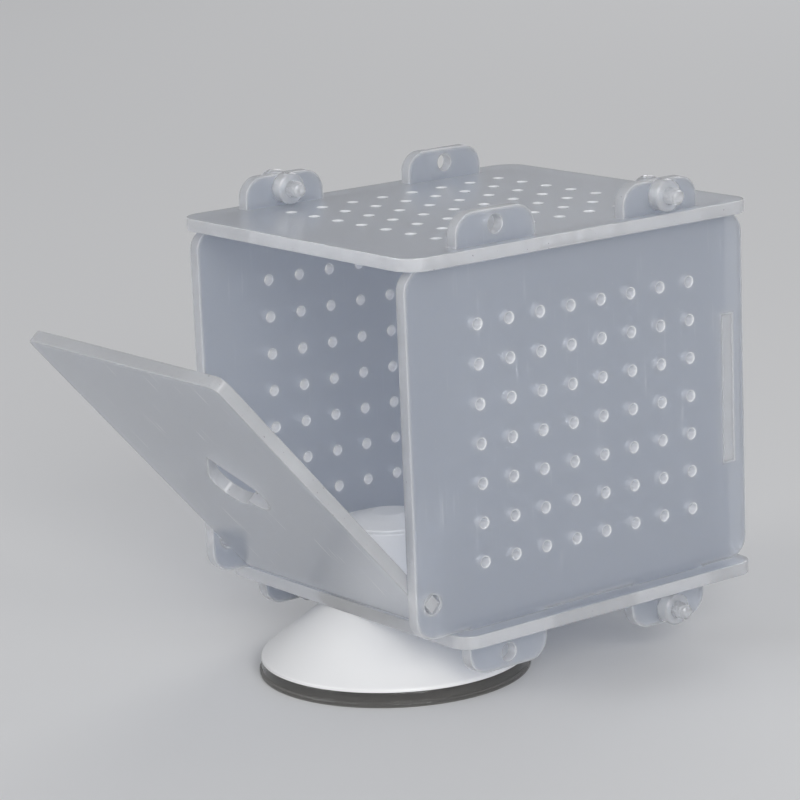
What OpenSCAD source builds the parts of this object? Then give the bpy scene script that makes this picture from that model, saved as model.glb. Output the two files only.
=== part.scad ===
// Fish breeding box: laser-cut sheet panels, a flap door and a screw-down suction cup.
// Millimetres. +Z up, the flap door faces -Y, the origin is the middle of the cup's face.

/* [Sheets] */
// Thickness of every sheet
sheet_t = 3; // [2:0.1:4]
// Clear width between the two side panels
inner_w = 75; // [66:1:110]
// Depth of the side panels from front to rear
side_depth = 100; // [92:1:150]
// Height of the side panels between the top and bottom panels
side_height = 83; // [72:1:130]
// Corner radius of the side panels
side_corner_r = 5; // [1:0.5:6]
// Corner radius of the top panel
top_corner_r = 6; // [1:0.5:8]
// Corner radius of the bottom panel
bottom_corner_r = 5; // [1:0.5:8]
// How far the top panel stands out past each side panel
top_over = 3.5; // [2:0.5:8]
// How far the top panel reaches past the side panels at the front
top_front_over = 1; // [0:0.5:4]
// How far the top panel reaches past the side panels at the rear
top_rear_over = 1; // [0:0.5:4]
// How far the bottom panel stands out past each side panel
bottom_over = 5; // [2:0.5:9]
// How far the bottom panel's front edge stands back from the side panels' front
bottom_setback = 9.2; // [9.2:0.1:10.5]
// How far the bottom panel's rear edge stands in from the side panels' rear
bottom_rear_inset = 1.3; // [0:0.1:3.5]
// How far the back panel's rear face stands in from the side panels' rear
back_inset = 3.6; // [3:0.2:6]
// Play between a tab and its slot on each side
slot_play = 0.1; // [0.05:0.05:0.2]

/* [Tabs] */
// Width of the tabs that pass up and down through the plates
tab_w = 22.6; // [18:0.2:26]
// How far a tab stands out above the top panel
tab_up = 7.4; // [7.2:0.1:12]
// How far a tab stands out below the bottom panel
tab_down = 8.1; // [7.8:0.1:12]
// Corner radius of the tabs
tab_corner_r = 5; // [1:0.5:7]
// Distance from the front edge to the middle of the front tab
tab_front_y = 25.9; // [22:0.1:28]
// Distance between the middles of the front and the rear tab
tab_pitch = 48.7; // [40:0.1:56]
// Width of the back panel's side tabs
back_tab_w = 35; // [20:1:45]
// Diameter of the hole in each tab
tab_hole_d = 4.1; // [4:0.1:4.3]
// Height of the upper tabs' holes above the top panel
tab_hole_up = 4; // [4:0.05:4.4]
// Distance of the lower tabs' holes below the bottom panel
tab_hole_down = 4.6; // [4:0.05:5]

/* [Perforation] */
// Diameter of the small water holes
perf_d = 2.4; // [1:0.2:4]
// Distance between the water holes
perf_pitch = 9; // [7:0.5:14]
// Distance from the front edge to the first column of holes
perf_front = 20; // [14:0.5:26]
// Least distance from the last column of holes to the rear edge
perf_rear = 17; // [12:0.5:24]
// Distance from a side panel's lower edge to the lowest row of holes
perf_low = 14.6; // [10:0.2:20]
// Least distance from the highest row of holes to the upper edge
perf_high = 14.4; // [10:0.2:20]
// Least distance from the outer columns of holes to a side panel
perf_side = 10; // [8:0.5:16]

/* [Door] */
// Angle of the open door from upright
door_angle = 41.4; // [20:0.2:42]
// Length of the door above its pivot
door_rise = 77.5; // [76:0.5:110]
// Length of the door's heel below its pivot
door_heel = 8.8; // [6:0.1:8.8]
// Gap between the door and each side panel
door_gap = 0.35; // [0.3:0.05:0.8]
// Corner radius of the door
door_corner_r = 2.5; // [0.5:0.5:4]
// Distance from the side panels' front edge to the pivot
pivot_y = 4.6; // [4.2:0.1:4.8]
// Height of the pivot above the bottom panel
pivot_z = 8; // [8:0.1:10]
// Height of the square pivot pegs cut on the door
peg_w = 3; // [2:0.1:3.6]
// Radial play of the pegs' corners in the pivot holes
pivot_play = 0.08; // [0.02:0.01:0.1]
// How far the peg ends stay inside the side panels' outer faces
peg_recess = 0.2; // [0:0.1:1]
// Side of the square in the heart-shaped finger hole
heart_s = 11; // [8:0.5:14]
// Distance from the pivot to the heart's point
heart_tip = 43.5; // [36:0.5:50]

/* [Suction cup] */
// Distance from the side panels' front edge to the cup's axis
cup_y = 24.5; // [24.5:0.1:34]
// Radius of the clear suction disc
disc_r = 32; // [24:0.5:36]
// Thickness of the suction disc
disc_t = 3.4; // [2:0.1:5]
// Height of the lip at the disc's edge
disc_lip = 0.9; // [0.5:0.1:1.5]
// How much narrower the disc is at its upper face
disc_taper = 0.7; // [0.2:0.1:2]
// Radius of the boss in the middle of the disc
boss_r = 9; // [8:0.2:11]
// Height of the boss above the disc
boss_h = 6.5; // [3:0.5:8]
// Radius of the conical cover at its rim
cover_r = 31.5; // [23:0.5:36]
// Radius of the cover where it meets the bottom panel
cover_top_r = 15.4; // [12:0.2:20]
// Height of the conical cover
cover_h = 13; // [12:0.5:20]
// Height of the cover's upright rim
cover_rim_h = 0.5; // [0.4:0.1:2]
// Wall of the cover
cover_wall = 1.5; // [1:0.1:2.5]
// Gap between the cover's rim and the disc
cover_gap = 0.2; // [0.1:0.05:0.3]
// Radius of the stud
stud_r = 3.9; // [3:0.1:5]
// Length of the stud above the bottom panel's upper face
stud_rise = 12; // [8:0.5:13]
// Radius of the stud's foot
foot_r = 6.5; // [5.5:0.1:7]
// Thickness of the stud's foot
foot_t = 2; // [1:0.2:2.6]
// Radial clearance of the stud in the cover and in the bottom panel
stud_clear = 0.3; // [0.2:0.05:0.6]
// Radial play of the stud in the knob
thread_play = 0.06; // [0.02:0.01:0.1]
// Radius of the lock knob
knob_r = 12.6; // [10:0.1:12.6]
// Height of the knob's upright side
knob_side_h = 15.6; // [14:0.1:18]
// Height of the knob in all
knob_h = 18; // [17:0.1:22]
// Radius of the flat on top of the knob
knob_flat_r = 4; // [2:0.1:8]
// Width and depth of the fine groove round the knob's top
knob_groove = 0.6; // [0.3:0.1:1]
// Distance from the knob's edge to the fine groove
knob_groove_in = 1.5; // [1:0.1:3]
// Gap under the knob
knob_gap = 0.1; // [0.05:0.05:0.3]

/* [Fasteners] */
// Diameter of the screws
screw_d = 3.8; // [3:0.1:3.8]
// Diameter of the screw heads
head_d = 7.9; // [6.8:0.1:7.9]
// Height of the screw heads
head_h = 3.2; // [2:0.1:4]
// Radius round the edge of the screw heads
head_round = 1.3; // [0.5:0.1:1.8]
// Width of the slot in the screw heads
drive_w = 1.2; // [0.8:0.1:1.6]
// Depth of the slot in the screw heads
drive_depth = 1.4; // [0.8:0.1:1.8]
// Diameter of the round nuts
nut_d = 7.5; // [6.2:0.1:7.8]
// Thickness of the nuts
nut_t = 3.2; // [2:0.1:5]
// Radius round the outer end of the nuts
nut_round = 0.7; // [0.3:0.1:1]
// Radial play of the screws in the nuts
nut_play = 0.05; // [0.02:0.01:0.1]
// How far the screws stand out past the nuts
screw_end = 3.4; // [0.5:0.1:4]

/* [Hidden] */
$fn = 64;
eps = 0.01;
past = 1;                                       // how far a cutter runs past a face

side_x = inner_w / 2;                           // inner face of a side panel
outer_x = side_x + sheet_t;                     // outer face of a side panel
front_y = -cup_y;                               // front edge of the side panels
rear_y = front_y + side_depth;
cover_z = disc_t + cover_gap;                   // lower edge of the cover
under_z = cover_z + cover_h;                    // underside of the bottom panel
floor_z = under_z + sheet_t;                    // upper face of the bottom panel
ceil_z = floor_z + side_height;                 // underside of the top panel
top_z = ceil_z + sheet_t;                       // upper face of the top panel
tab_ys = [front_y + tab_front_y, front_y + tab_front_y + tab_pitch];
back_y = rear_y - back_inset - sheet_t;         // front face of the back panel
pivot_at = [0, front_y + pivot_y, floor_z + pivot_z];
peg_r = sqrt(peg_w * peg_w + sheet_t * sheet_t) / 2;
pivot_hole_r = peg_r + pivot_play;
door_w = inner_w - 2 * door_gap;
perf_cols = floor((side_depth - perf_front - perf_rear) / perf_pitch + eps) + 1;
perf_rows = floor((side_height - perf_low - perf_high) / perf_pitch + eps) + 1;
perf_across = floor((inner_w - 2 * perf_side) / perf_pitch + eps) + 1;
perf_ys = [for (i = [0 : perf_cols - 1]) front_y + perf_front + i * perf_pitch];
perf_zs = [for (i = [0 : perf_rows - 1]) floor_z + perf_low + i * perf_pitch];
perf_xs = [for (i = [0 : perf_across - 1]) (i - (perf_across - 1) / 2) * perf_pitch];
slot_t = sheet_t + 2 * slot_play;
slot_w = tab_w + 2 * slot_play;
stud_hole_r = stud_r + stud_clear;

// Outline with four round corners, between two corner points
module rounded(a, b, r) {
  translate([a[0] + r, a[1]]) square([b[0] - a[0] - 2 * r, b[1] - a[1]]);
  translate([a[0], a[1] + r]) square([b[0] - a[0], b[1] - a[1] - 2 * r]);
  for (x = [a[0] + r, b[0] - r], y = [a[1] + r, b[1] - r]) translate([x, y]) circle(r = r);
}

// Stands an outline drawn in Y and Z on edge, with its lower X face at x
module upright(x) { translate([x, 0, 0]) rotate([90, 0, 90]) linear_extrude(sheet_t) children(); }

// One tab of a side panel; dir is +1 above the panel and -1 below it
module tab(y, dir) {
  z = dir > 0 ? ceil_z : floor_z;
  tab_len = sheet_t + (dir > 0 ? tab_up : tab_down);
  r = min(tab_corner_r, tab_w / 2, tab_len - sheet_t);
  end = z + dir * tab_len;
  translate([y - tab_w / 2, dir > 0 ? z - past : z - tab_len + r])
    square([tab_w, tab_len - r + past]);
  translate([y - tab_w / 2 + r, dir > 0 ? end - 2 * r : end]) square([tab_w - 2 * r, 2 * r]);
  for (s = [-1, 1]) translate([y + s * (tab_w / 2 - r), end - dir * r]) circle(r = r);
}

function tab_hole_z(dir) = dir > 0 ? top_z + tab_hole_up : under_z - tab_hole_down;

module side_outline() {
  difference() {
    union() {
      rounded([front_y, floor_z], [rear_y, ceil_z], side_corner_r);
      for (y = tab_ys, dir = [-1, 1]) tab(y, dir);
    }
    for (y = tab_ys, dir = [-1, 1]) translate([y, tab_hole_z(dir)]) circle(d = tab_hole_d);
    for (y = perf_ys, z = perf_zs) translate([y, z]) circle(d = perf_d);
    translate([pivot_at[1], pivot_at[2]]) circle(r = pivot_hole_r);
    translate([back_y - slot_play, (floor_z + ceil_z - back_tab_w) / 2 - slot_play])
      square([slot_t, back_tab_w + 2 * slot_play]);
  }
}

module tab_slots() {
  for (s = [-1, 1], y = tab_ys)
    translate([s * (side_x + sheet_t / 2) - slot_t / 2, y - slot_w / 2]) square([slot_t, slot_w]);
}

module top_panel() {
  color([0.72, 0.76, 0.82]) translate([0, 0, ceil_z]) linear_extrude(sheet_t) difference() {
    rounded([-outer_x - top_over, front_y - top_front_over],
            [outer_x + top_over, rear_y + top_rear_over], top_corner_r);
    tab_slots();
    for (x = perf_xs, y = perf_ys) translate([x, y]) circle(d = perf_d);
  }
}

module bottom_panel() {
  color([0.62, 0.66, 0.68]) translate([0, 0, under_z]) linear_extrude(sheet_t) difference() {
    rounded([-outer_x - bottom_over, front_y + bottom_setback],
            [outer_x + bottom_over, rear_y - bottom_rear_inset], bottom_corner_r);
    tab_slots();
    circle(r = stud_hole_r);
  }
}

module left_side_panel() { color([0.45, 0.52, 0.62]) upright(-outer_x) side_outline(); }
module right_side_panel() { color([0.66, 0.72, 0.82]) upright(side_x) side_outline(); }

module back_panel() {
  color([0.55, 0.62, 0.72]) translate([0, back_y + sheet_t, 0]) rotate([90, 0, 0])
    linear_extrude(sheet_t) difference() {
      union() {
        translate([-side_x + slot_play, floor_z]) square([inner_w - 2 * slot_play, side_height]);
        translate([-outer_x, (floor_z + ceil_z - back_tab_w) / 2]) square([2 * outer_x, back_tab_w]);
      }
      for (x = perf_xs, z = perf_zs) translate([x, z]) circle(d = perf_d);
    }
}

// Heart with its point up at the origin: a square on its corner and two round lobes
module heart(s) {
  rotate(-135) square(s);
  for (k = [-1, 1]) translate([k * s / (2 * sqrt(2)), -3 * s / (2 * sqrt(2))]) circle(d = s);
}

module flap_door() {
  color([0.78, 0.8, 0.84]) translate(pivot_at) rotate([door_angle, 0, 0]) {
    rotate([90, 0, 0]) translate([0, 0, -sheet_t / 2]) linear_extrude(sheet_t) difference() {
      union() {
        rounded([-door_w / 2, -door_heel], [door_w / 2, door_rise], door_corner_r);
        translate([-outer_x + peg_recess, -peg_w / 2]) square([2 * (outer_x - peg_recess), peg_w]);
      }
      translate([0, heart_tip]) heart(heart_s);
    }
  }
}

module suction_disc() {
  color([0.85, 0.9, 0.92]) difference() {
    union() {
      rotate_extrude() polygon([[0, 0], [disc_r, 0], [disc_r, disc_lip],
                                [disc_r - disc_taper, disc_t], [0, disc_t]]);
      cylinder(r = boss_r, h = disc_t + boss_h);
    }
    translate([0, 0, disc_t + boss_h - foot_t]) cylinder(r = foot_r + thread_play, h = foot_t + past);
  }
}

module cup_stud() {
  color([0.9, 0.9, 0.88]) translate([0, 0, disc_t + boss_h - foot_t]) {
    cylinder(r = foot_r, h = foot_t);
    cylinder(r = stud_r, h = floor_z + stud_rise - (disc_t + boss_h - foot_t));
  }
}

module cup_cover() {
  slope = (cover_r - cover_top_r) / (cover_h - cover_rim_h);
  wall_r = cover_wall * sqrt(1 + slope * slope);
  color([0.96, 0.96, 0.97]) translate([0, 0, cover_z]) rotate_extrude() polygon([
    [stud_hole_r, cover_h], [cover_top_r, cover_h], [cover_r, cover_rim_h], [cover_r, 0],
    [cover_r - wall_r, 0], [cover_r - wall_r, cover_rim_h],
    [cover_top_r + slope * cover_wall - wall_r, cover_h - cover_wall],
    [stud_hole_r, cover_h - cover_wall]]);
}

module lock_knob() {
  groove_r = knob_r - knob_groove_in;
  fall = (knob_h - knob_side_h) / (knob_r - knob_flat_r);
  groove_z = knob_side_h + fall * (knob_r - groove_r);
  color([0.97, 0.97, 0.97]) translate([0, 0, floor_z]) rotate_extrude() polygon([
    [stud_r + thread_play, knob_gap], [knob_r, knob_gap], [knob_r, knob_side_h],
    [groove_r + knob_groove, groove_z - fall * knob_groove],
    [groove_r + knob_groove, groove_z - knob_groove],
    [groove_r, groove_z - knob_groove], [groove_r, groove_z],
    [knob_flat_r, knob_h], [0, knob_h], [0, stud_rise + knob_gap + past],
    [stud_r + thread_play, stud_rise + knob_gap + past]]);
}

// Places a fastener on its tab: s is the side, y the tab and dir up or down. The heads all face -X.
module at_tab(s, y, dir) {
  translate([s > 0 ? side_x : -outer_x, y, tab_hole_z(dir)]) rotate([0, -90, 0]) children();
}

// Pan-head screw along Z, head above zero
module screw() {
  color([0.9, 0.94, 0.96]) difference() {
    rotate_extrude() union() {
      square([head_d / 2 - head_round, head_h]);
      square([head_d / 2, head_h - head_round]);
      translate([head_d / 2 - head_round, head_h - head_round]) circle(r = head_round);
      translate([0, -sheet_t - nut_t - screw_end])
        square([screw_d / 2, sheet_t + nut_t + screw_end + head_h / 2]);
    }
    translate([-head_d, -drive_w / 2, head_h - drive_depth])
      cube([2 * head_d, drive_w, drive_depth + past]);
  }
}

// Round nut on the +X side of its tab, with a rounded outer end
module nut() {
  bore_r = screw_d / 2 + nut_play;
  color([0.84, 0.9, 0.94]) translate([0, 0, -sheet_t - nut_t]) rotate_extrude() {
    translate([bore_r, nut_round]) square([nut_d / 2 - bore_r, nut_t - nut_round]);
    translate([bore_r, 0]) square([nut_d / 2 - nut_round - bore_r, nut_t]);
    translate([nut_d / 2 - nut_round, nut_round]) circle(r = nut_round);
  }
}

module screw_top_front() { at_tab(-1, tab_ys[0], 1) screw(); }
module nut_top_front() { at_tab(-1, tab_ys[0], 1) nut(); }
module screw_top_rear() { at_tab(1, tab_ys[1], 1) screw(); }
module nut_top_rear() { at_tab(1, tab_ys[1], 1) nut(); }
module screw_bottom_front() { at_tab(-1, tab_ys[0], -1) screw(); }
module nut_bottom_front() { at_tab(-1, tab_ys[0], -1) nut(); }
module screw_bottom_rear() { at_tab(1, tab_ys[1], -1) screw(); }
module nut_bottom_rear() { at_tab(1, tab_ys[1], -1) nut(); }

top_panel();
bottom_panel();
left_side_panel();
right_side_panel();
back_panel();
flap_door();
suction_disc();
cup_stud();
cup_cover();
lock_knob();
screw_top_front();
nut_top_front();
screw_top_rear();
nut_top_rear();
screw_bottom_front();
nut_bottom_front();
screw_bottom_rear();
nut_bottom_rear();
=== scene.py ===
import bmesh
import bpy
import numpy as np
from mathutils import Matrix, Vector
from mathutils.geometry import tessellate_polygon


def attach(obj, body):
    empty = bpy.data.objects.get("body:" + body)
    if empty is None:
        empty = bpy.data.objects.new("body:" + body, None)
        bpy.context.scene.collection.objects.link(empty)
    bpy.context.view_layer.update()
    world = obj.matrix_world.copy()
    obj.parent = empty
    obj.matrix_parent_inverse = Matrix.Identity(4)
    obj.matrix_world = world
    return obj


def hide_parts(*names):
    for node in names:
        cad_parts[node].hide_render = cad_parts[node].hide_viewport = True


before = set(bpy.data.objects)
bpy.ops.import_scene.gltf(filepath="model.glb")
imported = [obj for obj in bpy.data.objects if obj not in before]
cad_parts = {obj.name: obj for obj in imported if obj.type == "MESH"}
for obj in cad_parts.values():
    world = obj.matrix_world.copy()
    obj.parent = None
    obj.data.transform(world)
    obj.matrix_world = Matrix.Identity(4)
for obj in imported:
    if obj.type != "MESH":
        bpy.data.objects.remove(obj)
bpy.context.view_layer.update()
scene = bpy.context.scene
MM = 0.001


# ---- Studio -------------------------------------------------------------------------------
# A camera with a long lens stands a good arm's length away, a little above the box. The box
# stands on a wide pale floor under a dim sky. A big soft box lights it from the right, and two
# weaker ones from the front left and from behind on the left.

EYE = Vector((558.60, -425.57, 225.70)) * MM
EYE_AZIMUTH, EYE_ELEVATION, EYE_ROLL = np.radians((52.408, 12.979, -2.3125))
SENSOR, LENS = 36.0, 140.485
FLOOR_COLOUR = (0.80, 0.802, 0.806, 1)
SKY_COLOUR = (0.90, 0.91, 0.94, 1)
SKY_STRENGTH = 0.335
FLOOR_REACH = 6.0
# name: place, point that it faces, width and height in metres, power in watts
SOFT_BOXES = {
    "right_soft_box": ((2.15, -1.0, 1.1), (0.0, 0.0, 0.05), (1.5, 1.2), 42.5),
    "front_soft_box": ((-0.75, -2.2, 0.95), (0.0, 0.0, 0.04), (1.4, 0.9), 12.0),
    "rear_soft_box": ((-1.3, 1.9, 1.6), (0.0, 0.0, 0.05), (1.4, 1.0), 12.0),
}


def turned_frame(ahead, roll=0.0):
    """Rotation whose -Z looks along ahead and whose +Y is up, then rolled about ahead."""
    right = ahead.cross(Vector((0, 0, 1))).normalized()
    up = right.cross(ahead)
    rolled_right = right * np.cos(roll) + up * np.sin(roll)
    rolled_up = up * np.cos(roll) - right * np.sin(roll)
    return Matrix((rolled_right, rolled_up, -ahead)).transposed().to_4x4()


ahead = Vector((-np.sin(EYE_AZIMUTH) * np.cos(EYE_ELEVATION),
                np.cos(EYE_AZIMUTH) * np.cos(EYE_ELEVATION), -np.sin(EYE_ELEVATION)))
camera = bpy.data.objects.new("camera", bpy.data.cameras.new("camera"))
camera.data.sensor_width, camera.data.lens = SENSOR, LENS
camera.data.clip_start, camera.data.clip_end = 0.05, 20.0
camera.matrix_world = Matrix.Translation(EYE) @ turned_frame(ahead, EYE_ROLL)
scene.collection.objects.link(camera)
scene.camera = camera

for name, (place, target, size, watts) in SOFT_BOXES.items():
    lamp = bpy.data.lights.new(name, "AREA")
    lamp.shape, lamp.energy = "RECTANGLE", watts
    lamp.size, lamp.size_y = size
    soft_box = bpy.data.objects.new(name, lamp)
    toward = (Vector(target) - Vector(place)).normalized()
    soft_box.matrix_world = Matrix.Translation(place) @ turned_frame(toward)
    scene.collection.objects.link(soft_box)

world = bpy.data.worlds.new("studio")
world.use_nodes = True
world.node_tree.nodes["Background"].inputs["Color"].default_value = SKY_COLOUR
world.node_tree.nodes["Background"].inputs["Strength"].default_value = SKY_STRENGTH
scene.world = world
scene.view_settings.view_transform = "Standard"


class Value:
    """A socket that takes part in Python sums, each of which adds a Math node."""

    def __init__(self, tree, socket):
        self.tree, self.socket = tree, socket

    def join(self, operation, *others):
        return self.tree.node("Math", {"operation": operation}, [self, *others])

    def __add__(self, other): return self.join("ADD", other)
    def __mul__(self, other): return self.join("MULTIPLY", other)
    def __sub__(self, other): return self.join("SUBTRACT", other)
    def __rsub__(self, other): return self.tree.node("Math", {"operation": "SUBTRACT"}, [other, self])
    def __pow__(self, other): return self.join("POWER", other)
    __radd__ = __add__


class Finish:
    """A new material, whose nodes come from node() and whose last shader goes to end()."""

    def __init__(self, name):
        self.material = bpy.data.materials.new(name)
        self.material.use_nodes = True
        self.nodes = self.material.node_tree.nodes
        self.nodes.clear()

    def node(self, kind, settings=None, inputs=(), out=0):
        """Adds a ShaderNode of that kind: its settings first, then its inputs by name or number."""
        made = self.nodes.new("ShaderNode" + kind)
        for key, value in (settings or {}).items():
            setattr(made, key, value)
        pairs = inputs.items() if isinstance(inputs, dict) else enumerate(inputs)
        for key, value in pairs:
            if isinstance(value, Value):
                self.material.node_tree.links.new(value.socket, made.inputs[key])
            else:
                made.inputs[key].default_value = value
        return Value(self, made.outputs[out])

    def mix_colour(self, share, first, second):
        """first where share is 0 and second where it is 1, as colours."""
        mixer = self.nodes.new("ShaderNodeMix")
        mixer.data_type = "RGBA"
        factor, colour_a, colour_b = mixer.inputs[0], mixer.inputs[6], mixer.inputs[7]
        for socket, value in ((factor, share), (colour_a, first), (colour_b, second)):
            if isinstance(value, Value):
                self.material.node_tree.links.new(value.socket, socket)
            else:
                socket.default_value = value
        return Value(self, mixer.outputs[2])

    def noise(self, scale, detail=2.0, roughness=0.5):
        """Noise from 0 to 1 with that many lumps a metre."""
        return self.node("TexNoise", {}, {"Vector": self.node("TexCoord", out="Object"), "Scale": scale,
                                          "Detail": detail, "Roughness": roughness})

    def end(self, shader):
        made = self.nodes.new("ShaderNodeOutputMaterial")
        self.material.node_tree.links.new(shader.socket, made.inputs["Surface"])
        return self.material


floor_mesh = bpy.data.meshes.new("floor")
floor_corners = [(-FLOOR_REACH, -FLOOR_REACH, 0), (FLOOR_REACH, -FLOOR_REACH, 0),
                 (FLOOR_REACH, FLOOR_REACH, 0), (-FLOOR_REACH, FLOOR_REACH, 0)]
floor_mesh.from_pydata(floor_corners, [], [(0, 1, 2, 3)])
floor = bpy.data.objects.new("floor", floor_mesh)
scene.collection.objects.link(floor)
floor_finish = Finish("pale_floor")
floor.data.materials.append(floor_finish.end(floor_finish.node(
    "BsdfPrincipled", {}, {"Base Color": FLOOR_COLOUR, "Roughness": 0.9, "Specular IOR Level": 0.05})))


# ---- Cut sheets ---------------------------------------------------------------------------
# Five panels and a door, cut by laser from frosted acrylic sheet: matt and cloudy on both
# faces, clearer along the cuts, with painted glow on the cuts and in a band beside them.
# Tabs through slots hold the five panels together.

SHEET = 3.0
EDGE_BREAK = 0.18
# width of the band of painted glow beside a cut, along a sheet's outer edge and round a slot or a hole
EDGE_BAND, HOLE_BAND = 1.0, 0.6


def arc(centre, radius, start, stop, steps):
    """Points on a circle from one angle to another, in degrees."""
    turn = np.radians(np.linspace(start, stop, steps + 1))
    return np.stack([centre[0] + radius * np.cos(turn), centre[1] + radius * np.sin(turn)], 1)


def ring(centre, radius, steps=40):
    return arc(centre, radius, 0, 360, steps)[:-1]


def rounded(points, radii, steps=10):
    """Closed outline through points whose corners are arcs of those radii, or sharp at zero."""
    points = np.asarray(points, float)
    out = []
    for here, before, after, radius in zip(points, np.roll(points, 1, 0), np.roll(points, -1, 0), radii):
        if radius <= 0:
            out.append(here[None])
            continue
        into = (before - here) / np.linalg.norm(before - here)
        away = (after - here) / np.linalg.norm(after - here)
        half = np.arccos(np.clip(into @ away, -1, 1)) / 2
        middle = here + (into + away) / np.linalg.norm(into + away) * radius / np.sin(half)
        start = here + into * radius / np.tan(half) - middle
        stop = here + away * radius / np.tan(half) - middle
        first = np.degrees(np.arctan2(start[1], start[0]))
        sweep = (np.degrees(np.arctan2(stop[1], stop[0])) - first + 180) % 360 - 180
        out.append(arc(middle, radius, first, first + sweep, steps))
    return np.concatenate(out)


def box_outline(low, high, radius=0.0):
    return rounded([low, (high[0], low[1]), high, (low[0], high[1])], [radius] * 4)


def winding(loop):
    """Twice the area of a closed loop: positive where it runs anticlockwise."""
    after = np.roll(loop, -1, 0)
    return (loop[:, 0] * after[:, 1] - after[:, 0] * loop[:, 1]).sum()


def moved_in(loop, distance):
    """The loop with each point moved to its left, so that every side moves in by distance."""
    ahead_of = np.roll(loop, -1, 0) - loop
    ahead_of /= np.linalg.norm(ahead_of, axis=1)[:, None]
    left = np.stack([-ahead_of[:, 1], ahead_of[:, 0]], 1)
    both = left + np.roll(left, 1, 0)
    reach = np.maximum((both * left).sum(1), 0.3)[:, None]
    return loop + both / reach * distance


def piece_of(name, mesh, sharp_from):
    """Object for a finished mesh, smooth but for edges that turn more than sharp_from degrees."""
    mesh.shade_smooth()
    mesh.set_sharp_from_angle(angle=np.radians(sharp_from))
    piece = bpy.data.objects.new(name, mesh)
    scene.collection.objects.link(piece)
    return piece


def cut_sheet(name, outline, holes, place, edge_band=EDGE_BAND):
    """Sheet with broken edges. Each loop is carried through the thickness: in at one face, out
    over a quarter round, straight across and in again. A narrow band runs beside each loop on
    both faces, over which painted_glow, the point mask of painted glow, falls from 1 to 0, and
    the rest is filled."""
    holes = [(outline, edge_band, 0.0)] + list(holes)
    turn = np.radians([0, 30, 60, 90])
    drop = EDGE_BREAK * (1 - np.cos(turn))
    rise = np.concatenate([[0], drop, SHEET - drop[::-1], [SHEET]])
    inset = EDGE_BREAK * (1 - np.sin(np.concatenate([turn, turn[::-1]])))
    levels = len(rise)
    loops, points, quads, walls, painted_glow, water, starts = [], [], [], [], [], [], [0]
    for number, (loop, band, is_water) in enumerate(holes):
        loop = loop if (winding(loop) > 0) == (number == 0) else loop[::-1]
        loops.append(loop)
        count = len(loop)
        backs = np.concatenate([[EDGE_BREAK + band], inset, [EDGE_BREAK + band]])
        rings = [np.column_stack([moved_in(loop, back), np.full(count, up)])
                 for up, back in zip(rise, backs)]
        points.append(np.concatenate(rings))
        # painted glow mask: 1 on the cut walls, falling to 0 across the band on each face
        painted_glow.append(np.repeat(np.r_[0.0, np.ones(levels - 2), 0.0], count))
        water.append(np.full(levels * count, is_water))
        i, j = np.meshgrid(np.arange(count), np.arange(levels - 1))
        k = (i + 1) % count
        base = starts[-1]
        quads.append(np.stack([base + j * count + i, base + j * count + k,
                               base + (j + 1) * count + k, base + (j + 1) * count + i], -1).reshape(-1, 4))
        walls.append(((j > 0) & (j < levels - 2)).ravel())
        starts.append(base + levels * count)
    low = [base + np.arange(len(loop)) for base, loop in zip(starts, loops)]
    flat = np.concatenate(points)
    fill = np.array(tessellate_polygon([[Vector((*p[:2], 0)) for p in flat[part]] for part in low]))
    corners = flat[np.concatenate(low)][fill][:, :, :2]
    side_a, side_b = corners[:, 1] - corners[:, 0], corners[:, 2] - corners[:, 0]
    backwards = side_a[:, 0] * side_b[:, 1] - side_a[:, 1] * side_b[:, 0] < 0
    fill[backwards] = fill[backwards][:, ::-1]
    top = [base + (levels - 1) * len(loop) + np.arange(len(loop)) for base, loop in zip(starts, loops)]
    faces = np.concatenate(quads).tolist()
    faces += np.concatenate(low)[fill][:, ::-1].tolist() + np.concatenate(top)[fill].tolist()
    mesh = bpy.data.meshes.new(name)
    mesh.from_pydata((place(flat) * MM).tolist(), [], faces)
    on_wall = np.concatenate(walls + [np.zeros(2 * len(fill), bool)])
    for key, domain, values in (("cut", "FACE", on_wall), ("painted_glow", "POINT", np.concatenate(painted_glow)),
                                ("water", "POINT", np.concatenate(water))):
        mesh.attributes.new(key, "FLOAT", domain).data.foreach_set("value", values.astype(np.float32))
    return piece_of(name, mesh, 12)


# shares of clear plastic in a face and in a cut, the rest being milky; share of light let
# through the shadow; shares of a hole's milky wall and of the painted glow band beside a cut
FACE_CLEAR, CUT_CLEAR = 0.7, 0.5
SHADOW_PASS = 0.66
WATER_SHARE, PAINTED_GLOW_SHARE, PAINTED_GLOW_FALL = 0.7, 0.8, 1.3
# the faces' clear tint: partly the sheet's own grey, partly painted shade that darkens whatever shows
# through a face
CLEAR_TINT_AND_SHADE, CUT_TINT_AND_GLOW = (0.415, 0.435, 0.475, 1), (0.79, 0.795, 0.81, 1)
MILK_COLOUR, MILK_SHADE = (0.745, 0.785, 0.85, 1), (0.675, 0.715, 0.785, 1)
# cut and hole-wall colours: partly the cut's own pale milky finish, partly painted glow of light leaving
# the sheet at its cuts
CUT_COLOUR_AND_GLOW, CUT_SHADE_AND_GLOW = (0.79, 0.795, 0.805, 1), (0.71, 0.715, 0.725, 1)
WATER_COLOUR_AND_GLOW = (0.82, 0.83, 0.85, 1)
SCUFF_COLOUR, DUST_COLOUR = (0.97, 0.97, 0.98, 1), (0.25, 0.24, 0.23, 1)
SHADOW_TINT = (0.93, 0.95, 1.0, 1)
FACE_ROUGH, MILKY_CUT_ROUGH, CLEAR_CUT_ROUGH, WATER_ROUGH = 0.29, 0.35, 0.15, 0.3
ACRYLIC_IOR, MILK_DEPTH = 1.45, 0.0025
RELIEF = {"Strength": 0.03, "Distance": 0.0002}


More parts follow.
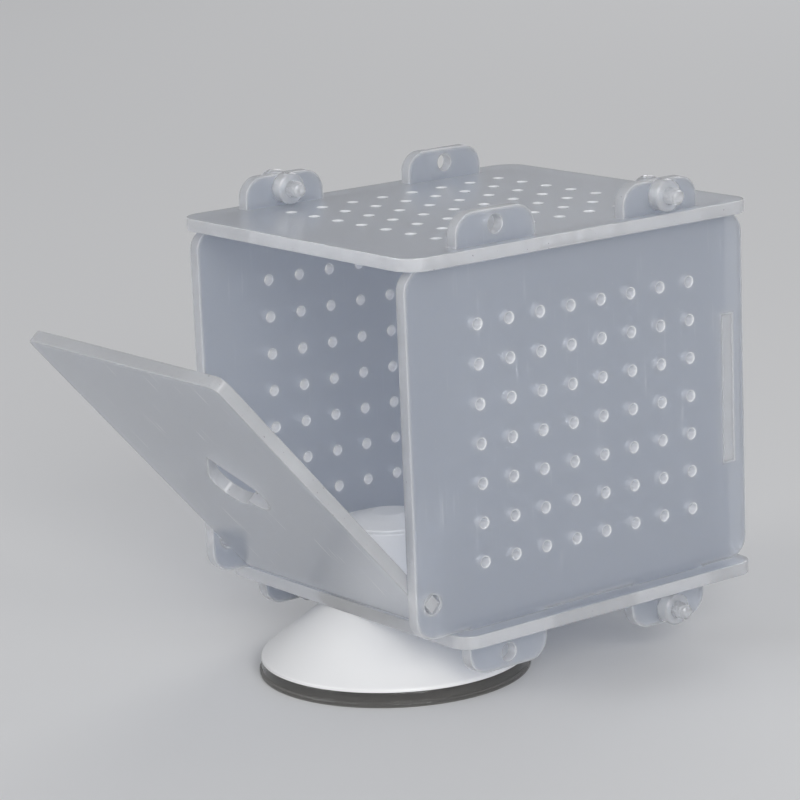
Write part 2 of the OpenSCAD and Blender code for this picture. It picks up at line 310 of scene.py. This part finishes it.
def frosted_acrylic(name, lean=0.0, scuffed=0.3):
    """Cloudy see-through plastic: faces blue grey with a soft gloss and faint scuffs that run up
    the sheet, their see-through share tinted darker as painted shade; cuts clearer, and paler
    partly as painted glow, with a band of painted glow beside each cut; milky water holes whose
    walls are painted bright, partly as painted glow."""
    finish = Finish(name)
    cloud = finish.noise(38, 4, 0.55)
    grain = finish.noise(2600, 2, 0.6)
    along = finish.node("Mapping", {"vector_type": "TEXTURE"}, {
        "Vector": finish.node("TexCoord", out="Object"), "Rotation": (lean, 0, 0), "Scale": (1, 1, 22)})
    streak = finish.node("TexNoise", {}, {"Vector": along, "Scale": 1100, "Detail": 1.0, "Roughness": 0.5})
    patch = finish.noise(70, 2, 0.5)
    in_streak = finish.node("Clamp", {}, [(streak - 0.62) * 9.0])
    in_patch = finish.node("Clamp", {}, [(patch - 0.5) * 8.0])
    scuff = finish.node("Clamp", {}, [in_streak * in_patch * scuffed])
    dust = finish.node("Clamp", {}, [(finish.noise(1300, 1, 0.5) - 0.74) * 14.0])
    colour = finish.mix_colour(cloud, MILK_SHADE, MILK_COLOUR)
    colour = finish.mix_colour(finish.node("Clamp", {}, [scuff + dust * 0.5]), colour, SCUFF_COLOUR)
    rough = FACE_ROUGH + cloud * 0.07 + scuff * 0.1
    milk = {"Subsurface Weight": 1.0, "Subsurface Radius": (1.0, 1.0, 1.0),
            "Subsurface Scale": MILK_DEPTH, "IOR": ACRYLIC_IOR}
    clear = {"Transmission Weight": 1.0, "IOR": ACRYLIC_IOR}
    gloss = {"Coat Weight": 0.9, "Coat Roughness": 0.14,
             "Normal": finish.node("Bump", {}, {"Height": grain, **RELIEF})}
    milky_face = finish.node("BsdfPrincipled", {}, {
        "Base Color": colour, "Roughness": rough, **milk, **gloss})
    # clear share of a face, its tint darkened by painted shade
    clear_face = finish.node("BsdfPrincipled", {}, {
        "Base Color": CLEAR_TINT_AND_SHADE, "Roughness": rough, **clear, **gloss})
    face = finish.node("MixShader", {}, [FACE_CLEAR - scuff * 0.35, milky_face, clear_face])
    lines = finish.noise(260, 2, 0.5)
    # the cut's tones are paler than the faces' partly as painted glow
    cut_tone_and_glow = finish.mix_colour(lines, CUT_SHADE_AND_GLOW, CUT_COLOUR_AND_GLOW)
    cut_tone_and_glow = finish.mix_colour(finish.node("Clamp", {}, [dust * 0.7]), cut_tone_and_glow, DUST_COLOUR)
    shine = {"Coat Weight": 0.4, "Coat Roughness": 0.12,
             "Normal": finish.node("Bump", {}, {"Height": finish.noise(1200, 1), **RELIEF})}
    milky_cut = finish.node("BsdfPrincipled", {}, {
        "Base Color": cut_tone_and_glow, "Roughness": MILKY_CUT_ROUGH, **milk, **shine})
    clear_cut = finish.node("BsdfPrincipled", {}, {
        "Base Color": CUT_TINT_AND_GLOW, "Roughness": CLEAR_CUT_ROUGH + lines * 0.06, **clear, **shine})
    # hole walls painted bright, partly as painted glow of light inside the sheet
    hole_wall = finish.node("BsdfPrincipled", {}, {
        "Base Color": WATER_COLOUR_AND_GLOW, "Roughness": WATER_ROUGH + lines * 0.15, **milk, **shine})
    cut = finish.node("MixShader", {}, [CUT_CLEAR, milky_cut, clear_cut])
    water = finish.node("Attribute", {"attribute_name": "water"}, out="Fac")
    cut = finish.node("MixShader", {}, [water * WATER_SHARE, cut, hole_wall])
    # painted glow: the cut's paler look is spread over a band of the face beside each cut
    painted_glow = finish.node("Attribute", {"attribute_name": "painted_glow"}, out="Fac")
    on_cut = finish.node("Attribute", {"attribute_name": "cut"}, out="Fac")
    where = finish.node("Math", {"operation": "MAXIMUM"}, [on_cut, painted_glow ** PAINTED_GLOW_FALL * PAINTED_GLOW_SHARE])
    solid = finish.node("MixShader", {}, [where, face, cut])
    shadow = finish.node("LightPath", out="Is Shadow Ray")
    see_through = finish.node("BsdfTransparent", {}, {"Color": SHADOW_TINT})
    return finish.end(finish.node("MixShader", {}, [shadow * SHADOW_PASS, solid, see_through]))


sheet_finish = frosted_acrylic("frosted_acrylic")


def fit_sheet(piece, node, body, finish=sheet_finish):
    piece.data.materials.append(finish)
    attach(piece, body)
    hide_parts(node)


# ---- Side panels --------------------------------------------------------------------------
# Two mirrored upright sheets. Two rounded tabs on each long edge pass through the top and the
# bottom panel, and each tab has one screw hole. The round hole low in front is the door's hinge.

INNER_W, DEPTH, HEIGHT = 75.0, 100.0, 83.0
SIDE_X = INNER_W / 2
OUTER_X = SIDE_X + SHEET
FRONT_Y = -24.5
REAR_Y = FRONT_Y + DEPTH
UNDER_Z = 16.6
FLOOR_Z = UNDER_Z + SHEET
CEIL_Z = FLOOR_Z + HEIGHT
TOP_Z = CEIL_Z + SHEET
SIDE_CORNER, SIDE_BAND = 5.0, 0.7
TAB_W, TAB_UP, TAB_DOWN, TAB_CORNER = 22.6, 7.4, 8.1, 5.0
TAB_YS = (FRONT_Y + 25.9, FRONT_Y + 74.6)
TAB_HOLE_R, TAB_HOLE_UP, TAB_HOLE_DOWN, TAB_HOLE_BAND = 2.05, TOP_Z + 4.0, UNDER_Z - 4.6, 0.1
HINGE_Y, HINGE_Z, HINGE_HOLE_R = FRONT_Y + 4.6, FLOOR_Z + 8, 2.2013
BACK_Y, BACK_TAB_W, SLOT_PLAY = REAR_Y - 6.6, 35.0, 0.1
WATER_HOLE_R, WATER_PITCH, WATER_BAND = 1.2, 9.0, 0.25
WATER_YS = FRONT_Y + 20 + np.arange(8) * WATER_PITCH
WATER_ZS = FLOOR_Z + 14.6 + np.arange(7) * WATER_PITCH


def water_holes(across, up):
    return [(ring((a, b), WATER_HOLE_R, 32), WATER_BAND, 1.0) for a in across for b in up]


def facing_right(x):
    """Y and Z of the outline stand upright, with the thickness along X from x."""
    return lambda p: np.column_stack([x + p[:, 2], p[:, 0], p[:, 1]])


def side_outline():
    """Rounded sheet with two tabs above and two below, followed anticlockwise."""
    up, down = TOP_Z + TAB_UP, UNDER_Z - TAB_DOWN
    points, radii = [(FRONT_Y, FLOOR_Z)], [SIDE_CORNER]
    for middle in TAB_YS:
        left, right = middle - TAB_W / 2, middle + TAB_W / 2
        points += [(left, FLOOR_Z), (left, down), (right, down), (right, FLOOR_Z)]
        radii += [0, TAB_CORNER, TAB_CORNER, 0]
    points += [(REAR_Y, FLOOR_Z), (REAR_Y, CEIL_Z)]
    radii += [SIDE_CORNER, SIDE_CORNER]
    for middle in TAB_YS[::-1]:
        left, right = middle - TAB_W / 2, middle + TAB_W / 2
        points += [(right, CEIL_Z), (right, up), (left, up), (left, CEIL_Z)]
        radii += [0, TAB_CORNER, TAB_CORNER, 0]
    points += [(FRONT_Y, CEIL_Z)]
    radii += [SIDE_CORNER]
    return rounded(points, radii)


slot_half = BACK_TAB_W / 2 + SLOT_PLAY
slot_middle = (FLOOR_Z + CEIL_Z) / 2
side_holes = water_holes(WATER_YS, WATER_ZS)
side_holes += [(ring((y, z), TAB_HOLE_R), TAB_HOLE_BAND, 0.0)
               for y in TAB_YS for z in (TAB_HOLE_UP, TAB_HOLE_DOWN)]
side_holes += [(ring((HINGE_Y, HINGE_Z), HINGE_HOLE_R), HOLE_BAND, 0.0),
               (box_outline((BACK_Y - SLOT_PLAY, slot_middle - slot_half),
                            (BACK_Y + SHEET + SLOT_PLAY, slot_middle + slot_half)), HOLE_BAND, 0.0)]
for side, x in (("left", -OUTER_X), ("right", SIDE_X)):
    panel = cut_sheet(f"{side}_panel", side_outline(), side_holes, facing_right(x), SIDE_BAND)
    fit_sheet(panel, f"{side}_side_panel", "box")


# ---- Top panel, bottom panel and back panel -----------------------------------------------
# The top and bottom sheets have four slots for the side panels' tabs. The back sheet stands
# between the side panels, with one long tab through each.

# how far the top and bottom sheets stand out past the side panels, or lie within their ends
TOP_OVER, TOP_REACH, TOP_CORNER = 3.5, 1.0, 6.0
BOTTOM_OVER, BOTTOM_SETBACK, BOTTOM_INSET, BOTTOM_CORNER = 5.0, 9.2, 1.3, 5.0
STUD_HOLE_R = 4.2
WATER_XS = np.arange(-3, 4) * WATER_PITCH


def facing_up(z):
    return lambda p: p + (0, 0, z)


def facing_front(y):
    """X and Z of the outline stand upright, with the thickness along Y from y."""
    return lambda p: np.column_stack([p[:, 0], y + SHEET - p[:, 2], p[:, 1]])


slot_half_x, slot_half_y = SHEET / 2 + SLOT_PLAY, TAB_W / 2 + SLOT_PLAY
tab_slots = [(box_outline((x - slot_half_x, y - slot_half_y), (x + slot_half_x, y + slot_half_y)),
              HOLE_BAND, 0.0) for x in (-SIDE_X - SHEET / 2, SIDE_X + SHEET / 2) for y in TAB_YS]
top = cut_sheet("top_sheet",
                box_outline((-OUTER_X - TOP_OVER, FRONT_Y - TOP_REACH),
                            (OUTER_X + TOP_OVER, REAR_Y + TOP_REACH), TOP_CORNER),
                tab_slots + water_holes(WATER_XS, WATER_YS), facing_up(CEIL_Z))
fit_sheet(top, "top_panel", "box")
bottom = cut_sheet("bottom_sheet",
                   box_outline((-OUTER_X - BOTTOM_OVER, FRONT_Y + BOTTOM_SETBACK),
                               (OUTER_X + BOTTOM_OVER, REAR_Y - BOTTOM_INSET), BOTTOM_CORNER),
                   tab_slots + [(ring((0, 0), STUD_HOLE_R, 64), HOLE_BAND, 0.0)], facing_up(UNDER_Z))
fit_sheet(bottom, "bottom_panel", "box")

back_low, back_high = slot_middle - BACK_TAB_W / 2, slot_middle + BACK_TAB_W / 2
back_x = SIDE_X - SLOT_PLAY
back_outline = np.array([
    (-back_x, FLOOR_Z), (back_x, FLOOR_Z), (back_x, back_low), (OUTER_X, back_low),
    (OUTER_X, back_high), (back_x, back_high), (back_x, CEIL_Z), (-back_x, CEIL_Z),
    (-back_x, back_high), (-OUTER_X, back_high), (-OUTER_X, back_low), (-back_x, back_low)])
back = cut_sheet("back_sheet", back_outline, water_holes(WATER_XS, WATER_ZS), facing_front(BACK_Y))
fit_sheet(back, "back_panel", "box")


# ---- Flap door ----------------------------------------------------------------------------
# One more frosted sheet, with a heart cut out as a finger hole and two square pegs cut on its
# sides. The pegs turn in the side panels' round holes, and the heel rests against the knob.

DOOR_ANGLE = np.radians(41.4)
DOOR_RISE, DOOR_HEEL, DOOR_GAP, DOOR_CORNER = 77.5, 8.8, 0.35, 2.5
PEG_W, PEG_RECESS = 3.0, 0.2
HEART_SIDE, HEART_TIP = 11.0, 43.5


def heart():
    """A square on its corner, with a half circle on each of its two lower sides."""
    lobe = HEART_SIDE / np.sqrt(8)
    right_lobe = arc((lobe, HEART_TIP - 3 * lobe), HEART_SIDE / 2, 45, -135, 20)
    left_lobe = arc((-lobe, HEART_TIP - 3 * lobe), HEART_SIDE / 2, -45, -225, 20)
    return np.concatenate([[(0, HEART_TIP)], right_lobe, left_lobe[1:]])


def leaning(p):
    """Sideways and up the door become X and the leaning line through the hinge."""
    up, out = p[:, 1], p[:, 2] - SHEET / 2
    lean, rise = np.sin(DOOR_ANGLE), np.cos(DOOR_ANGLE)
    return np.column_stack([p[:, 0], HINGE_Y - up * lean - out * rise, HINGE_Z + up * rise - out * lean])


door_x = SIDE_X - DOOR_GAP
peg_x = OUTER_X - PEG_RECESS
door_points = [(-door_x, -DOOR_HEEL), (door_x, -DOOR_HEEL), (door_x, -PEG_W / 2), (peg_x, -PEG_W / 2),
               (peg_x, PEG_W / 2), (door_x, PEG_W / 2), (door_x, DOOR_RISE), (-door_x, DOOR_RISE),
               (-door_x, PEG_W / 2), (-peg_x, PEG_W / 2), (-peg_x, -PEG_W / 2), (-door_x, -PEG_W / 2)]
door_radii = [DOOR_CORNER, DOOR_CORNER, 0, 0, 0, 0, DOOR_CORNER, DOOR_CORNER, 0, 0, 0, 0]
door = cut_sheet("door_sheet", rounded(door_points, door_radii), [(heart(), HOLE_BAND, 0.0)], leaning)
fit_sheet(door, "flap_door", "door", frosted_acrylic("door_acrylic", DOOR_ANGLE, 1.5))


# ---- Suction cup --------------------------------------------------------------------------
# A soft clear vinyl disc grips the glass. A glossy white cone moulded in plastic covers it, and
# a stud through the cone and the bottom panel takes the white lock knob inside the box.


def turned(name, profile, steps=128, place=lambda p: p):
    """A closed profile of radius and height, turned about the Z axis on a grid of angles."""
    profile = np.asarray(profile, float)
    turn = np.linspace(0, 2 * np.pi, steps, endpoint=False)
    around = np.stack([np.cos(turn), np.sin(turn)], 1)
    on_axis = profile[:, 0] < 1e-6
    points, rows = [], []
    for (radius, height), alone in zip(profile, on_axis):
        start = sum(map(len, points))
        row = np.column_stack([around * radius, np.full(steps, height)])
        if alone:
            row = np.array([[0, 0, height]])
        points.append(row)
        rows.append(np.full(steps, start) if alone else start + np.arange(steps))
    faces = []
    for below, above, flat_below, flat_above in zip(rows[:-1], rows[1:], on_axis[:-1], on_axis[1:]):
        if flat_below and flat_above:
            continue
        quad = np.stack([below, np.roll(below, -1), np.roll(above, -1), above], 1)
        if flat_below:
            quad = quad[:, [0, 2, 3]]
        elif flat_above:
            quad = quad[:, :3]
        faces += quad.tolist()
    if not (on_axis[0] and on_axis[-1]):
        quad = np.stack([rows[-1], np.roll(rows[-1], -1), np.roll(rows[0], -1), rows[0]], 1)
        faces += quad.tolist()
    mesh = bpy.data.meshes.new(name)
    mesh.from_pydata((place(np.concatenate(points)) * MM).tolist(), [], faces)
    return piece_of(name, mesh, 35)


# radius and height of each corner of the profile, and how far it is rounded
disc_points = [(0, 1.3), (22, 1.2), (30.2, 0), (32, 0), (32, 0.9), (31.4, 1.3), (31.1, 3.4),
               (9, 3.4), (9, 9.9), (6.56, 9.9), (6.56, 7.9), (0, 7.9)]
disc_rounds = [0, 3, 0.3, 0.3, 0.3, 0.2, 0.5, 1.2, 0.5, 0.2, 0.2, 0]
disc = turned("vinyl_disc", rounded(disc_points, disc_rounds))
clear_vinyl = Finish("clear_vinyl")
# the disc's warm grey tint: partly the vinyl's own tone, partly painted shade that darkens the clear disc
VINYL_LOW_TINT_AND_SHADE, VINYL_HIGH_TINT_AND_SHADE = (0.62, 0.61, 0.585, 1), (0.70, 0.69, 0.665, 1)
VINYL_SHADOW_PASS, VINYL_SHADOW_TINT = 0.75, (0.95, 0.94, 0.92, 1)
vinyl_tint_and_shade = clear_vinyl.mix_colour(clear_vinyl.noise(25, 3), VINYL_LOW_TINT_AND_SHADE, VINYL_HIGH_TINT_AND_SHADE)
vinyl = clear_vinyl.node("BsdfPrincipled", {}, {
    "Base Color": vinyl_tint_and_shade, "Roughness": 0.03 + clear_vinyl.noise(60, 3) * 0.06, "IOR": 1.45,
    "Transmission Weight": 0.9, "Subsurface Weight": 1.0, "Subsurface Radius": (1.0, 1.0, 1.0),
    "Subsurface Scale": 0.004})
disc.data.materials.append(clear_vinyl.end(clear_vinyl.node("MixShader", {}, [
    clear_vinyl.node("LightPath", out="Is Shadow Ray") * VINYL_SHADOW_PASS, vinyl,
    clear_vinyl.node("BsdfTransparent", {}, {"Color": VINYL_SHADOW_TINT})])))
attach(disc, "cup")
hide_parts("suction_disc")

white_plastic = Finish("white_plastic")
WHITE_SHADE, WHITE_COLOUR = (0.83, 0.83, 0.83, 1), (0.88, 0.88, 0.878, 1)
white_tone = white_plastic.mix_colour(white_plastic.noise(30, 3), WHITE_SHADE, WHITE_COLOUR)
white_grain = white_plastic.node("Bump", {}, {"Strength": 0.04, "Distance": 0.0002,
                                               "Height": white_plastic.noise(1500, 2)})
white_finish = white_plastic.end(white_plastic.node("BsdfPrincipled", {}, {
    "Base Color": white_tone, "Roughness": 0.32 + white_plastic.noise(45, 3) * 0.1, "IOR": 1.5,
    "Coat Weight": 0.25, "Coat Roughness": 0.15, "Normal": white_grain}))

COVER_LOW, COVER_HIGH, COVER_RIM, COVER_WALL = 3.6, UNDER_Z, 0.5, 1.5
cover_points = [(STUD_HOLE_R, COVER_HIGH), (15.4, COVER_HIGH),
                (31.5, COVER_LOW + COVER_RIM), (31.5, COVER_LOW),
                (29.0, COVER_LOW), (29.0, COVER_LOW + COVER_RIM),
                (14.8, COVER_HIGH - COVER_WALL), (STUD_HOLE_R, COVER_HIGH - COVER_WALL)]
cover_rounds = [0, 0.4, 1.2, 0.3, 0.3, 0.5, 0.5, 0]
cover = turned("cone_cover", rounded(cover_points, cover_rounds)[::-1])
cover.data.materials.append(white_finish)
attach(cover, "box")
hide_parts("cup_cover")

knob_points = [(3.96, 0.1), (12.6, 0.1), (12.6, 15.6), (11.5, 15.9), (11.5, 15.3), (11.0, 15.3),
               (10.9, 16.1), (7.0, 17.3), (4.0, 17.95), (0, 18.0), (0, 13.1), (3.96, 13.1)]
knob_rounds = [0.2, 0.4, 0.35, 0.15, 0.05, 0.05, 0.2, 0.4, 0.6, 0, 0, 0]
knob = turned("knob", rounded(knob_points, knob_rounds) + (0, FLOOR_Z))
knob.data.materials.append(white_finish)
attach(knob, "knob")
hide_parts("lock_knob")

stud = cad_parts["cup_stud"]
stud.data.materials.clear()
stud.data.materials.append(white_finish)


# ---- Screws and nuts ----------------------------------------------------------------------
# Clear moulded plastic. A slotted pan-head screw goes through each of four tabs, all with their
# heads to the left, and a round nut on its thread holds it.

HEAD_R, HEAD_H, HEAD_ROUND, HEAD_BREAK, SLOT_W = 3.95, 3.2, 1.4, 0.25, 1.2
TIP_TAPER = 0.5
THREAD_R, THREAD_DEPTH, THREAD_PITCH, LEAD_IN = 1.9, 0.34, 1.0, 0.7
NUT_R, NUT_H, NUT_PLAY, BEYOND_NUT = 3.75, 3.2, 0.05, 3.4
SHANK = SHEET + NUT_H + BEYOND_NUT

PLASTIC_SHADE, PLASTIC_COLOUR = (0.88, 0.89, 0.91, 1), (0.95, 0.96, 0.97, 1)
PLASTIC_SHADOW_PASS, PLASTIC_SHADOW_TINT = 0.7, (0.95, 0.97, 1.0, 1)
clear_plastic = Finish("clear_plastic")
plastic_cloud = clear_plastic.noise(220, 3)
plastic = clear_plastic.node("BsdfPrincipled", {}, {
    "Base Color": clear_plastic.mix_colour(plastic_cloud, PLASTIC_SHADE, PLASTIC_COLOUR),
    "Roughness": 0.04 + plastic_cloud * 0.1, "IOR": 1.49, "Transmission Weight": 0.74,
    "Subsurface Weight": 1.0, "Subsurface Radius": (1.0, 1.0, 1.0), "Subsurface Scale": 0.003,
    "Coat Weight": 1.0, "Coat Roughness": 0.05})
clear_finish = clear_plastic.end(clear_plastic.node("MixShader", {}, [
    clear_plastic.node("LightPath", out="Is Shadow Ray") * PLASTIC_SHADOW_PASS, plastic,
    clear_plastic.node("BsdfTransparent", {}, {"Color": PLASTIC_SHADOW_TINT})]))


def lying(x, y, z):
    """The turning axis lies along X, so that heights run to the left from x."""
    return lambda p: np.column_stack([x - p[:, 2], y + p[:, 1], z + p[:, 0]])


def grid_faces(rows, columns, first, closed):
    """Quads between neighbours of a grid of points, closed round where its columns meet."""
    i, j = np.meshgrid(np.arange(columns if closed else columns - 1), np.arange(rows - 1))
    k = (i + 1) % columns
    return np.stack([first + j * columns + i, first + j * columns + k,
                     first + (j + 1) * columns + k, first + (j + 1) * columns + i], -1).reshape(-1, 4)


def pan_screw(name, place, steps=64):
    """Head and shank on two grids that share the rim. The head's top follows chords: across is
    R cos a, along is a share of R sin a, and the height falls by a quarter round at the rim and
    by the slot's depth in the middle. The shank's radius falls and rises with height plus turn,
    which is a helix."""
    angle = np.linspace(0, np.pi, steps // 2 + 1)
    half = HEAD_R * np.sin(angle)
    slot = np.minimum(SLOT_W / 2, half)
    shares = np.array([1, 0.985, 0.95, 0.88, 0.75, 0.45, 0])[:, None]
    outer = slot + (half - slot) * shares
    along = np.concatenate([outer, [slot, 0 * slot, -slot], -outer[::-1]])
    across = np.broadcast_to(HEAD_R * np.cos(angle), along.shape)
    past = np.clip(np.hypot(across, along) - (HEAD_R - HEAD_ROUND), 0, HEAD_ROUND)
    height = HEAD_H - HEAD_ROUND + np.sqrt(HEAD_ROUND ** 2 - past ** 2)
    height[len(outer):len(outer) + 3] = HEAD_H - HEAD_ROUND
    crown = np.stack([across, along, height], -1)
    turn = np.linspace(0, 2 * np.pi, steps, endpoint=False)
    down = np.concatenate([[HEAD_H - HEAD_ROUND, HEAD_BREAK, 0, 0],
                           -np.arange(0.05, SHANK, 0.1), [-SHANK, -SHANK]])
    wave = np.abs(2 * ((down[:, None] / THREAD_PITCH + turn / (2 * np.pi)) % 1) - 1)
    tip = np.clip(down[:, None] + SHANK - LEAD_IN, -LEAD_IN, 0) / -LEAD_IN
    radius = THREAD_R - THREAD_DEPTH * wave - TIP_TAPER * tip
    radius[:4] = np.array([HEAD_R, HEAD_R, HEAD_R - HEAD_BREAK, THREAD_R])[:, None]
    radius[-1] = 0
    shank = np.stack([radius * np.cos(turn), radius * np.sin(turn),
                      np.broadcast_to(down[:, None], radius.shape)], -1)
    faces = np.concatenate([grid_faces(*crown.shape[:2], 0, False),
                            grid_faces(*shank.shape[:2], crown.shape[0] * crown.shape[1], True)])
    mesh = bpy.data.meshes.new(name)
    points = place(np.concatenate([crown.reshape(-1, 3), shank.reshape(-1, 3)])) * MM
    mesh.from_pydata(points.tolist(), [], faces.tolist())
    body = bmesh.new()
    body.from_mesh(mesh)
    bmesh.ops.remove_doubles(body, verts=body.verts, dist=1e-6)
    bmesh.ops.recalc_face_normals(body, faces=body.faces)
    body.to_mesh(mesh)
    body.free()
    return piece_of(name, mesh, 50)


bore, near, far = THREAD_R + NUT_PLAY, -SHEET, -SHEET - NUT_H
nut_points = [(bore, near), (NUT_R, near), (NUT_R, far), (bore, far)]
nut_profile = rounded(nut_points, [0.15, 0.15, 0.6, 0.25])[::-1]
for place_name, x, y, z in (("top_front", -OUTER_X, TAB_YS[0], TAB_HOLE_UP),
                            ("top_rear", SIDE_X, TAB_YS[1], TAB_HOLE_UP),
                            ("bottom_front", -OUTER_X, TAB_YS[0], TAB_HOLE_DOWN),
                            ("bottom_rear", SIDE_X, TAB_YS[1], TAB_HOLE_DOWN)):
    for kind, piece in (("screw", pan_screw(f"pan_screw_{place_name}", lying(x, y, z))),
                        ("nut", turned(f"round_nut_{place_name}", nut_profile, 64, lying(x, y, z)))):
        piece.data.materials.append(clear_finish)
        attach(piece, "box")
        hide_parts(f"{kind}_{place_name}")
